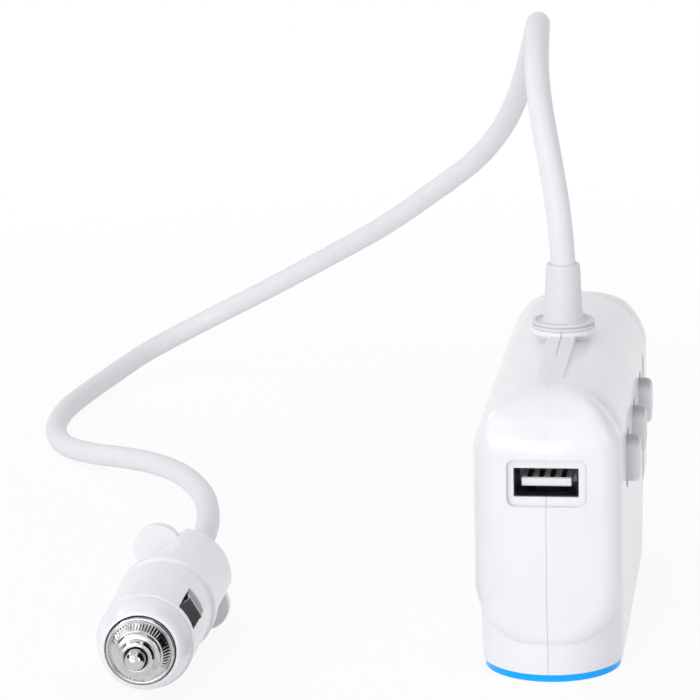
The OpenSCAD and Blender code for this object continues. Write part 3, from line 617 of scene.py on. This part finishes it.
cone = np.linspace((5.15, -2.7), (6.3, -0.55), 7).tolist()
ring = soften([
    (PIN_HOLE_R, 2.1), (PIN_HOLE_R, -5.0), (2.75, -5.25), (3.3, -5.05), (3.65, -4.3),
    (3.72, -3.72), (4.4, -3.6), (4.75, -3.3), (4.82, -2.8), *cone, (6.36, -0.2),
    (6.62, -0.42), (6.95, -0.38), (RING_R, 0.0), (RING_R, 3), (6, 3), (6, 6), (3.9, 6),
    (3.9, 2.1)], 0.12, closed=True)
place(lathe("nose_nut", ring, PLUG_AXIS, FLUTES * 8, closed=True, radius_at=fluted), "hub",
      "bright_nickel", "plug_nose_ring")

# %% [markdown]
# A rounded white cap holds the nut, and a ball-ended pin comes through it. Behind the
# handle a tapered relief guides the lead. All three are plain turned profiles; the pin's
# ball is a quarter circle in front of the rest.

# %% Nose cap, pin and relief
cap = soften([
    (7.38, 0.35), (7.55, 0.05), (8.15, 0.38), (8.78, 1.5), (9.32, 3.0), (9.66, 4.8),
    (9.8, 6.0), (8.55, 6.0), (8.55, 6.8), (6.05, 6.8), (6.05, 3.0), (7.38, 3.0)], 0.5,
    steps=5, closed=True)
place(lathe("nose_cap_moulded", cap, PLUG_AXIS, 144, closed=True), "hub", "plug_plastic",
      "plug_nose_cap")

TIP_R, TIP_AT = 2.1, -8.2
dome = [(TIP_R * math.sin(a), TIP_AT + TIP_R * (1 - math.cos(a)))
        for a in np.linspace(0, math.pi / 2, 14)]
pin = dome + soften([(TIP_R, -5.9), (1.95, -5.75), (1.95, -5.4), (2.1, -5.2), (2.1, 2.4),
                     (3.15, 2.4), (3.15, 3.8), (0, 3.8)], 0.08).tolist()
place(lathe("pin_turned", pin, PLUG_AXIS, 64), "centre_pin", "bright_nickel", "plug_pin")

relief = soften([(0, 52.4), (4.9, 52.4), (4.9, 54.4), (4.45, 55.3), (4.1, 57.0),
                 (3.6, 65.8), (3.3, 66.4), (0, 66.4)], 0.35)
place(lathe("relief_turned", relief, PLUG_AXIS, 64), "hub", "white_rubber", "plug_relief")

# %% [markdown]
# Each side contact is a strip of spring steel that leaves its slot, leans out through the
# window to a rounded crest and dives back in. A bent sheet with a Solidify modifier would
# do. Here a thin section with round edges is carried along the bent line, which gives the
# strip its soft edges at once.

# %% Side contacts
STRIP_T, STRIP_W = 0.5, 4.8
STRIP_LINE = soften([(8.05, 24.5), (8.05, 19.6), (9.35, 18.6), (10.75, 13.3), (10.95, 12.7),
                     (10.75, 12.1), (8.15, 8.4), (7.55, 7.2)], 0.7, steps=7)


def strip(name, direction):
    """Section points u (across) and n (through the sheet) carried along the bent line.

    A point is origin + (r + n Nr) * radial + (h + n Nh) * C + u * sideways, where N is
    the line's normal in the plane of r and h.
    """
    turn = math.radians(direction)
    origin, a, b, c = PLUG_AXIS
    radial = math.cos(turn) * a + math.sin(turn) * b
    sideways = -math.sin(turn) * a + math.cos(turn) * b
    ahead = np.gradient(STRIP_LINE, axis=0)
    ahead /= np.linalg.norm(ahead, axis=1)[:, None]
    normal = np.stack([-ahead[:, 1], ahead[:, 0]], axis=1)
    half_w, half_t = STRIP_W / 2, STRIP_T / 2
    section = soften([(-half_w, -half_t), (half_w, -half_t), (half_w, half_t),
                      (-half_w, half_t)], 0.14, steps=3, closed=True)
    u, n = section[None, :, 0, None], section[None, :, 1, None]
    where = STRIP_LINE[:, None, :] + n * normal[:, None, :]
    points = origin + where[..., :1] * radial + where[..., 1:] * c + u * sideways
    faces = capped_quads(len(STRIP_LINE), len(section))
    return make_piece(name, points.reshape(-1, 3), faces, 50)


place(strip("right_strip", 30), "right_contact", "bright_nickel", "right_side_contact",
      finish="strip_steel")
place(strip("left_strip", 210), "left_contact", "bright_nickel", "left_side_contact",
      finish="strip_steel")

# %% [markdown]
# The spring presses the fuse and the pin forward. A Screw modifier winds an even helix,
# but a real spring is wound closer at its ends, so the height is eased here. It is wound
# from the fuse's end to the brass disc that it bears on, between which the real spring
# shortens as the pin goes in.

# %% Spring behind the fuse
WIRE_R, COIL_R, COIL_TURNS, TURN_STEPS, END_EASE = 0.4, 2.3, 5, 32, 0.42
FUSE_END, DISC_AT, PIN_TRAVEL = 33.8, 41.8, 2.4


def wound_spring(name):
    """COIL_R (cos v A + sin v B) + h C, where h follows t - ease sin(2 pi t) / 2 pi."""
    t = np.linspace(0, 1, COIL_TURNS * TURN_STEPS + 1)[:, None]
    origin, a, b, c = PLUG_AXIS
    v = 2 * math.pi * COIL_TURNS * t
    ease = t - END_EASE * np.sin(2 * math.pi * t) / (2 * math.pi)
    inset = WIRE_R + 0.05
    h = FUSE_END + inset + (DISC_AT - FUSE_END - 2 * inset) * ease
    line = origin + COIL_R * (np.cos(v) * a + np.sin(v) * b) + h * c
    steps = np.diff(line, axis=0)
    return capped_tube(name, line, WIRE_R, 12, steps[0], steps[-1])


spring = place(wound_spring("spring_wound"), "hub", "spring_steel", "plug_spring")
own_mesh(spring)

# %% [markdown]
# The switch caps are turned too: a stem, a flange that stops the cap behind the wall, a
# straight side and a softly rounded rim round a face that is very slightly domed. The rim
# is rounder than the rest, so the profile is softened in two parts.

# %% Switch caps
CAP_R, CAP_FACE, CAP_FOOT, CAP_SIDE, SWITCH_Z = 5.0, 17.7, 11.6, 14.5, 40.8
stem = soften([(0, 6.5), (1.3, 6.5), (1.3, CAP_FOOT), (5.9, CAP_FOOT), (5.9, 12.7),
               (CAP_R, 12.7), (CAP_R, CAP_SIDE)], 0.4)
rim = soften([(CAP_R, CAP_SIDE), (CAP_R, CAP_FACE), (0, CAP_FACE + 0.12)], 1.4, steps=9)
cap_profile = np.vstack([stem, rim])
for label, along in (("front", -24.0), ("middle", 0.0), ("rear", 24.0)):
    switch_axis = np.array([[0, along, SWITCH_Z], [0, 1, 0], [0, 0, 1], [1, 0, 0]], float)
    place(lathe(label + "_cap_moulded", cap_profile, switch_axis, 72), label + "_switch",
          "frosted_plastic", label + "_switch_cap")

# %% [markdown]
# The port is folded tin round a moulded tongue. Boolean cuts would leave sharp lips. So
# its parts are blocks of rounded rectangles that are set one behind another along Y,
# joined by faces and closed at both ends.

# %% Blocks of rounded rectangles


def loops(rows, steps=5):
    """Points and faces of a block; a row is (y, x, z, half width, half height, corner).

    Each corner of a loop is its centre + r (cos v, sin v), with v over a quarter turn.
    """
    y, x, z, wide, high, r = (np.array(rows, float)[:, k, None] for k in range(6))
    sx, sz = np.repeat([(1, 1), (-1, 1), (-1, -1), (1, -1)], steps, axis=0).T
    quarter = np.linspace(0, math.pi / 2, steps)
    v = (np.arange(4)[:, None] * math.pi / 2 + quarter).ravel()
    points = np.stack([x + sx * (wide - r) + r * np.cos(v), y + 0 * v,
                       z + sz * (high - r) + r * np.sin(v)], axis=-1)
    return points.reshape(-1, 3), capped_quads(len(rows), len(v))


def joined(name, blocks):
    """One piece from the points and faces of several blocks."""
    faces, count = [], 0
    for points, sides in blocks:
        faces += [[count + corner for corner in side] for side in sides]
        count += len(points)
    return make_piece(name, np.vstack([points for points, sides in blocks]), faces)


# %% [markdown]
# Going out along the shell and back inside it gives a thin-walled tin box with a rolled
# lip. Four sprung fingers hold whatever is pushed in: each is a narrow block whose loops
# lift off the wall and come back to it.

# %% Charging port
PORT_Y, PORT_Z = -52.0, 43.0
shell = loops([
    (-38.0, 0, PORT_Z, 6.6, 3.0, 0.6), (PORT_Y + 0.12, 0, PORT_Z, 6.6, 3.0, 0.6),
    (PORT_Y, 0, PORT_Z, 6.5, 2.9, 0.55), (PORT_Y, 0, PORT_Z, 6.42, 2.82, 0.5),
    (PORT_Y + 0.8, 0, PORT_Z, 6.25, 2.65, 0.4), (-39.0, 0, PORT_Z, 6.25, 2.65, 0.4)])
FINGER_X, FINGER_Z = 3.2, 2.72
FINGER_LINE = [(-50.6, 0.0), (-49.6, 0.1), (-48.0, 0.45), (-47.3, 0.5), (-46.6, 0.4),
               (-45.8, 0.1)]
fingers = []
for side in (-1, 1):
    for up in (-1, 1):
        fingers.append(loops([
            (y, side * FINGER_X, PORT_Z - up * (FINGER_Z - rise), 0.9, 0.12, 0.06)
            for y, rise in FINGER_LINE]))
# The tin's finish is painted shade, a nearly black metal.
place(joined("port_tin", [shell] + fingers), "hub", "plated_steel", "port_shell",
      finish="port_shade_steel")

# %% [markdown]
# The tongue, its root and the four contact leaves are solid blocks of the same kind. The
# first loop of tongue and leaves is a little smaller, which slopes their front edges.

# %% Tongue and contacts of the port
TONGUE_Z, LEAF_PITCH = PORT_Z - 0.25, 2.3
tongue = loops([(-51.0, 0, TONGUE_Z, 5.0, 0.7, 0.2), (-50.75, 0, TONGUE_Z, 5.15, 0.92, 0.25),
                (-40.0, 0, TONGUE_Z, 5.15, 0.92, 0.25)])
root = loops([(-42.0, 0, PORT_Z, 6.2, 2.6, 0.3), (-39.0, 0, PORT_Z, 6.2, 2.6, 0.3)])
place(joined("port_tongue_moulded", [tongue, root]), "hub", "port_plastic", "port_tongue")

tongue_top = TONGUE_Z + 0.92
leaves = []
for k in (-1.5, -0.5, 0.5, 1.5):
    x = k * LEAF_PITCH
    leaves.append(loops([(-50.6, x, tongue_top - 0.04, 0.42, 0.06, 0.03),
                         (-50.2, x, tongue_top + 0.07, 0.5, 0.12, 0.05),
                         (-42.0, x, tongue_top + 0.07, 0.5, 0.12, 0.05)]))
# The leaves' finish is painted shade, a dark brass.
place(joined("port_contact_leaves", leaves), "hub", "contact_brass", "port_contacts",
      finish="port_shade_brass")

# %% [markdown]
# The lead leaves the sleeve on the roof and ends in the plug. The imported parts of the
# plug and the finer pieces that stand for some of them sit at its end.

# %% [markdown]
# The rounded pad on each end of the hub is what the eye meets first. A Bevel modifier
# can't round the curved edge where its upright face rolls back into the roof of the
# imported solid, so a thin skin over each pad softens it. The skin is the zero level of a
# field: the smooth greater of two distances, let out a little where they cross.

# %% Field of a pad
PAD_R, PAD_LOW, PAD_HIGH, PAD_CREST, PAD_DEPTH = 15.2, 21.2, 46.2, 61.4, 16.4
EDGE_R, FACE_R, CREST_R, END_Y = 5.0, 70.0, 14.0, 53.5
EDGE_X = PAD_R - EDGE_R
EDGE_DEPTH = FACE_R - math.sqrt((FACE_R - EDGE_R + 0.01) ** 2 - EDGE_X ** 2)
SKIN, SWELL = 0.03, 0.42


def ramp(value):
    """3 t^2 - 2 t^3 with t held between 0 and 1."""
    t = np.clip(value, 0, 1)
    return t * t * (3 - 2 * t)


def pad_field(p):
    """smax(pill, crest) - out, where smax(a, b) = max(a, b) + max(k - |a - b|, 0)^2 / 4k.

    p holds x, the depth behind the face, and z. The pill is an upright slot with rolled
    edges and a slightly domed face, and the crest is a cylinder that lies across the top.
    out grows from SKIN to SKIN + SWELL away from the middle line and towards the top, and
    fades again before the skin's back edge.
    """
    x, depth, z = p.T
    r = np.hypot(x, np.maximum(np.maximum(z - PAD_HIGH, PAD_LOW - z), 0))
    face = np.hypot(r, depth - FACE_R) - FACE_R
    edge = np.hypot(r - EDGE_X, depth - EDGE_DEPTH) - EDGE_R
    on_face = r * (FACE_R - EDGE_DEPTH) < EDGE_X * (FACE_R - depth)
    pill = np.where(depth > EDGE_DEPTH, r - PAD_R, np.where(on_face, face, edge))
    up, back = z - (PAD_CREST - CREST_R), CREST_R - depth
    crest = np.where(back < 0, up - CREST_R, np.where(up < 0, -depth,
                                                      np.hypot(up, back) - CREST_R))
    out = SKIN + SWELL * ramp((r - 2) / 10) * ramp((z - 46) / 6) * ramp((13 - depth) / 6)
    k = 4 * (out - SKIN) + 1e-6
    meet = np.maximum(k - np.abs(pill - crest), 0) ** 2 / (4 * k)
    return np.maximum(pill, crest) + meet - out


# %% [markdown]
# Marching through a whole grid of the field would give uneven faces. Instead, every point
# of the skin is found on a short ray from inside the pad, by keeping the half in which
# the field turns positive. The same halving finds the rounded opening that leaves the
# port free.

# %% Points of the skin
HALVINGS, RAY_REACH = 36, 12.0


def edge_of(count, reach, within):
    """The distance up to which within(distance) holds, for many rays, found by halving."""
    near, far = np.zeros(count), np.full(count, reach)
    for _ in range(HALVINGS):
        middle = (near + far) / 2
        held = within(middle)
        near, far = np.where(held, middle, near), np.where(held, far, middle)
    return near


def on_skin(start, ahead):
    """Where rays from inside the pad pass its skin: start + t * ahead with field zero."""
    t = edge_of(len(start), RAY_REACH, lambda t: pad_field(start + t[:, None] * ahead) < 0)
    return start + t[:, None] * ahead


def opening(angles, half_w, half_h, r):
    """Points of a rounded rectangle round the port's middle, one for each direction."""
    c, s = np.cos(angles), np.sin(angles)

    def within(t):
        qx, qz = np.abs(t * c) - half_w + r, np.abs(t * s) - half_h + r
        corner = np.hypot(np.maximum(qx, 0), np.maximum(qz, 0))
        return corner + np.minimum(np.maximum(qx, qz), 0) < r

    t = edge_of(len(angles), half_w + half_h, within)
    return np.stack([t * c, np.zeros(len(angles)), PORT_Z + t * s], axis=1)


# %% [markdown]
# The skin's loops start round the port, spread over the face, roll over its edge and run
# back along the sides, where the last loop tucks in. The far pad has no port, so its skin
# starts from a small spot and is closed there. One function makes both.

# %% Skins of the end pads
CORE_R, CORE_DEPTH, TUCK_R, TUCK_DEPTH = 8.6, 6.4, 14.5, PAD_DEPTH + 0.1
SUNK_FROM, SUNK_TO = 1.05, 0.12
ARC_STEPS, SIDE_STEPS, FACE_STEPS, ROLL_STEPS, WALL_STEPS = 73, 24, 22, 26, 16


def round_the_pad():
    """Angle and height of each column: over the top, down, round the foot and up."""
    arc = np.linspace(0, math.pi, ARC_STEPS)
    rise = (PAD_HIGH - PAD_LOW) * np.linspace(0, 1, SIDE_STEPS + 2)[1:-1]
    turn = np.concatenate([arc, np.full(SIDE_STEPS, math.pi), math.pi + arc,
                           np.full(SIDE_STEPS, 2 * math.pi)])
    height = np.concatenate([np.full(ARC_STEPS, PAD_HIGH), PAD_HIGH - rise,
                             np.full(ARC_STEPS, PAD_LOW), PAD_LOW + rise])
    return turn, height


def pad_skin(name, side, half_w, half_h, r, closed):
    """Loops from an opening in the face, over the rolled edge and back along the sides."""
    turn, height = round_the_pad()
    outward = np.stack([np.cos(turn), 0 * turn, np.sin(turn)], axis=1)
    back = np.array([0, 1.0, 0])
    spine = np.stack([0 * turn, 0 * turn, height], axis=1)
    core = spine + CORE_R * outward + CORE_DEPTH * back
    way = core - np.array([0, 0, PORT_Z])
    angles = np.arctan2(way[:, 2], way[:, 0])
    lip = opening(angles, half_w, half_h, r) + CORE_DEPTH * back
    forward = np.tile(-back, (len(turn), 1))
    face = [on_skin(lip + (core - lip) * w, forward) for w in np.linspace(0, 1, FACE_STEPS)]
    roll = [on_skin(core, math.cos(a) * outward - math.sin(a) * back)
            for a in np.linspace(math.pi / 2, 0, ROLL_STEPS)[1:]]
    wall = [on_skin(core + d * back, outward)
            for d in np.linspace(0, PAD_DEPTH + 0.05 - CORE_DEPTH, WALL_STEPS)[1:]]
    tuck = [spine + TUCK_R * outward + TUCK_DEPTH * back]
    sunk = []
    if not closed:
        edge = opening(angles, half_w - SKIN, half_h - SKIN, r - SKIN)
        sunk = [edge + SUNK_FROM * back, edge + SUNK_TO * back]
    rows = sunk + face + roll + wall + tuck
    points = np.concatenate(rows)
    points[:, 1] = side * (END_Y - points[:, 1])
    faces = grid_quads(len(rows), len(turn)).tolist()
    if closed:
        faces.append(list(range(len(turn))))
    return make_piece(name, points, faces, 35)


place(pad_skin("near_pad_skin", -1, half_w=8.1, half_h=5.0, r=1.6, closed=False), "hub",
      "white_plastic")
place(pad_skin("far_pad_skin", 1, half_w=0.6, half_h=0.6, r=0.3, closed=True), "hub",
      "white_plastic")

# %% [markdown]
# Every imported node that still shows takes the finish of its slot, and so does every new
# piece, so a change of finish reaches all the pieces of one kind.

# %% Give out the finishes
slot_of = {row["node"]: row["material_slot"] for row in frame["record"]["subparts"]}
for name, node in NODES.items():
    node.data.materials.clear()
    node.data.materials.append(FINISHES[slot_of[name]])
for piece, slot in PIECES:
    piece.data.materials.clear()
    piece.data.materials.append(FINISHES[slot])
print("finished %d packed nodes and %d new pieces" % (len(NODES), len(PIECES)))

# %% [markdown]
# The floor is a broad white sheet. Under lamps that suit the object it would turn grey,
# and more light would burn the object out. So the camera and reflections see it shine
# mostly plain white, and what is left of its own shading keeps a soft shadow.

# %% Floor
FLOOR_HALF, FLOOR_DROP = 2500.0, 0.06
CORNERS = ((-1, -1), (1, -1), (1, 1), (-1, 1))
floor = make_piece("studio_floor", [(sx * FLOOR_HALF, sy * FLOOR_HALF, -FLOOR_DROP)
                                    for sx, sy in CORNERS], [[0, 1, 2, 3]])
f = Finish("white_floor", Base_Color=(0.9, 0.9, 0.9), Roughness=0.8)
rays = f.node("LightPath")
seen = f.math("MAXIMUM", rays, rays.also("Is Glossy Ray"))
glow = f.node("Emission", Color=(1.0, 1.0, 1.0), Strength=1.0)
x, y, z = f.axes()
far = f.band((x * x + y * y) ** 0.5, 0.15, 0.5)
sheet = f.node("MixShader", _0=seen * (0.90 + far * 0.10), _1=Link(f, f.shader.outputs[0]),
               _2=glow)
f.set(f.tree.nodes["Material Output"], "Surface", sheet)
floor.data.materials.append(f.material)

# %% [markdown]
# The world lights the object evenly at a plain level. A picture of a studio could do
# that, but the script reads no pictures. Seen directly, mirrored or through glass, the
# world is plain white instead.

# %% World
world = bpy.data.worlds.new("studio_world")
bpy.context.scene.world = world
world.use_nodes = True
world.node_tree.nodes.clear()
sky = Nodes(world.node_tree)
rays = sky.node("LightPath")
seen = sky.math("MAXIMUM", rays, rays.also("Is Glossy Ray"))
seen = sky.math("MAXIMUM", seen, rays.also("Is Transmission Ray"))
ambient = sky.node("Background", Color=(0.975, 0.965, 1.0), Strength=0.60)
plain = sky.node("Background", Color=(1.0, 1.0, 1.0), Strength=1.0)
sky.node("OutputWorld", Surface=sky.node("MixShader", _0=seen, _1=ambient, _2=plain))
print("world: %d nodes" % len(sky.tree.nodes))

# %% [markdown]
# Large soft lamps give the forms their gentle shading: the photograph is brightest from
# the upper left and falls off towards the right. They are area lamps, because a sun or a
# spot would draw hard shadows, and they stay low enough that white plastic keeps its
# shading.

# %% Lamps


def soft_lamp(name, where, target, width, height, watts):
    """A rectangular lamp at a point in metres, turned towards another point."""
    data = bpy.data.lights.new(name, "AREA")
    data.shape = "RECTANGLE"
    data.size, data.size_y, data.energy = width, height, watts
    lamp = bpy.data.objects.new(name, data)
    bpy.context.scene.collection.objects.link(lamp)
    aim = np.array(target) - np.array(where)
    yaw, tip = math.atan2(aim[1], aim[0]), math.atan2(math.hypot(aim[0], aim[1]), -aim[2])
    lamp.matrix_world = (Matrix.Translation(where) @ Matrix.Rotation(yaw - math.pi / 2, 4, "Z")
                         @ Matrix.Rotation(tip, 4, "X"))
    print("%s: %.2f W" % (name, watts))


soft_lamp("upper_left_lamp", (-0.55, -0.75, 0.65), (-0.04, 0.0, 0.04), 0.9, 0.9, 3.1)
soft_lamp("overhead_lamp", (0.0, 0.1, 1.1), (-0.03, 0.06, 0.0), 0.9, 0.9, 0.7)
soft_lamp("front_lamp", (-0.5, -1.3, 0.12), (-0.03, 0.0, 0.03), 1.0, 0.5, 6.2)
soft_lamp("edge_lamp", (-0.60, 0.25, 0.50), (-0.01, -0.05, 0.055), 0.2, 0.12, 0.45)
soft_lamp("right_fill_lamp", (0.9, -0.5, 0.4), (0.0, 0.0, 0.04), 0.5, 0.5, 1.0)

# %% [markdown]
# Polished metal in a white room looks flat and white. Photographers stand black cards
# round it, and their reflections draw its forms. These cards are seen by reflections
# only, so the white parts keep their light.

# %% Black cards
CARD = Finish("black_card", Base_Color=(0.01, 0.01, 0.01), Roughness=0.9,
              Specular_IOR_Level=0.0).done()
PLUG_NOSE = (-81.6, -71, 11.6)


def dark_card(name, where, width, height):
    """A black card in millimetres that faces the plug's nose and only reflections see."""
    aim = np.array(PLUG_NOSE) - np.array(where, float)
    ahead = aim / np.linalg.norm(aim)
    side = np.cross(ahead, (0, 0, 1.0))
    side /= np.linalg.norm(side)
    up = np.cross(side, ahead)
    spots = [np.array(where) + side * sx * width / 2 + up * sy * height / 2
             for sx, sy in CORNERS]
    card = make_piece(name, spots, [[0, 1, 2, 3]])
    card.visible_camera = card.visible_diffuse = card.visible_shadow = False
    card.visible_transmission = False
    card.data.materials.append(CARD)


dark_card("card_upper_right", (230, 20, 270), 420, 260)
dark_card("card_above", (-95, 10, 330), 150, 50)
dark_card("card_between", (-42, -64, 34), 64, 66)
dark_card("card_upper_left", (-260, -420, 330), 130, 130)
dark_card("card_left", (-330, -40, 130), 240, 110)
dark_card("card_low", (-56, -58, 4), 26, 14)
bpy.context.scene.view_settings.view_transform = "Standard"
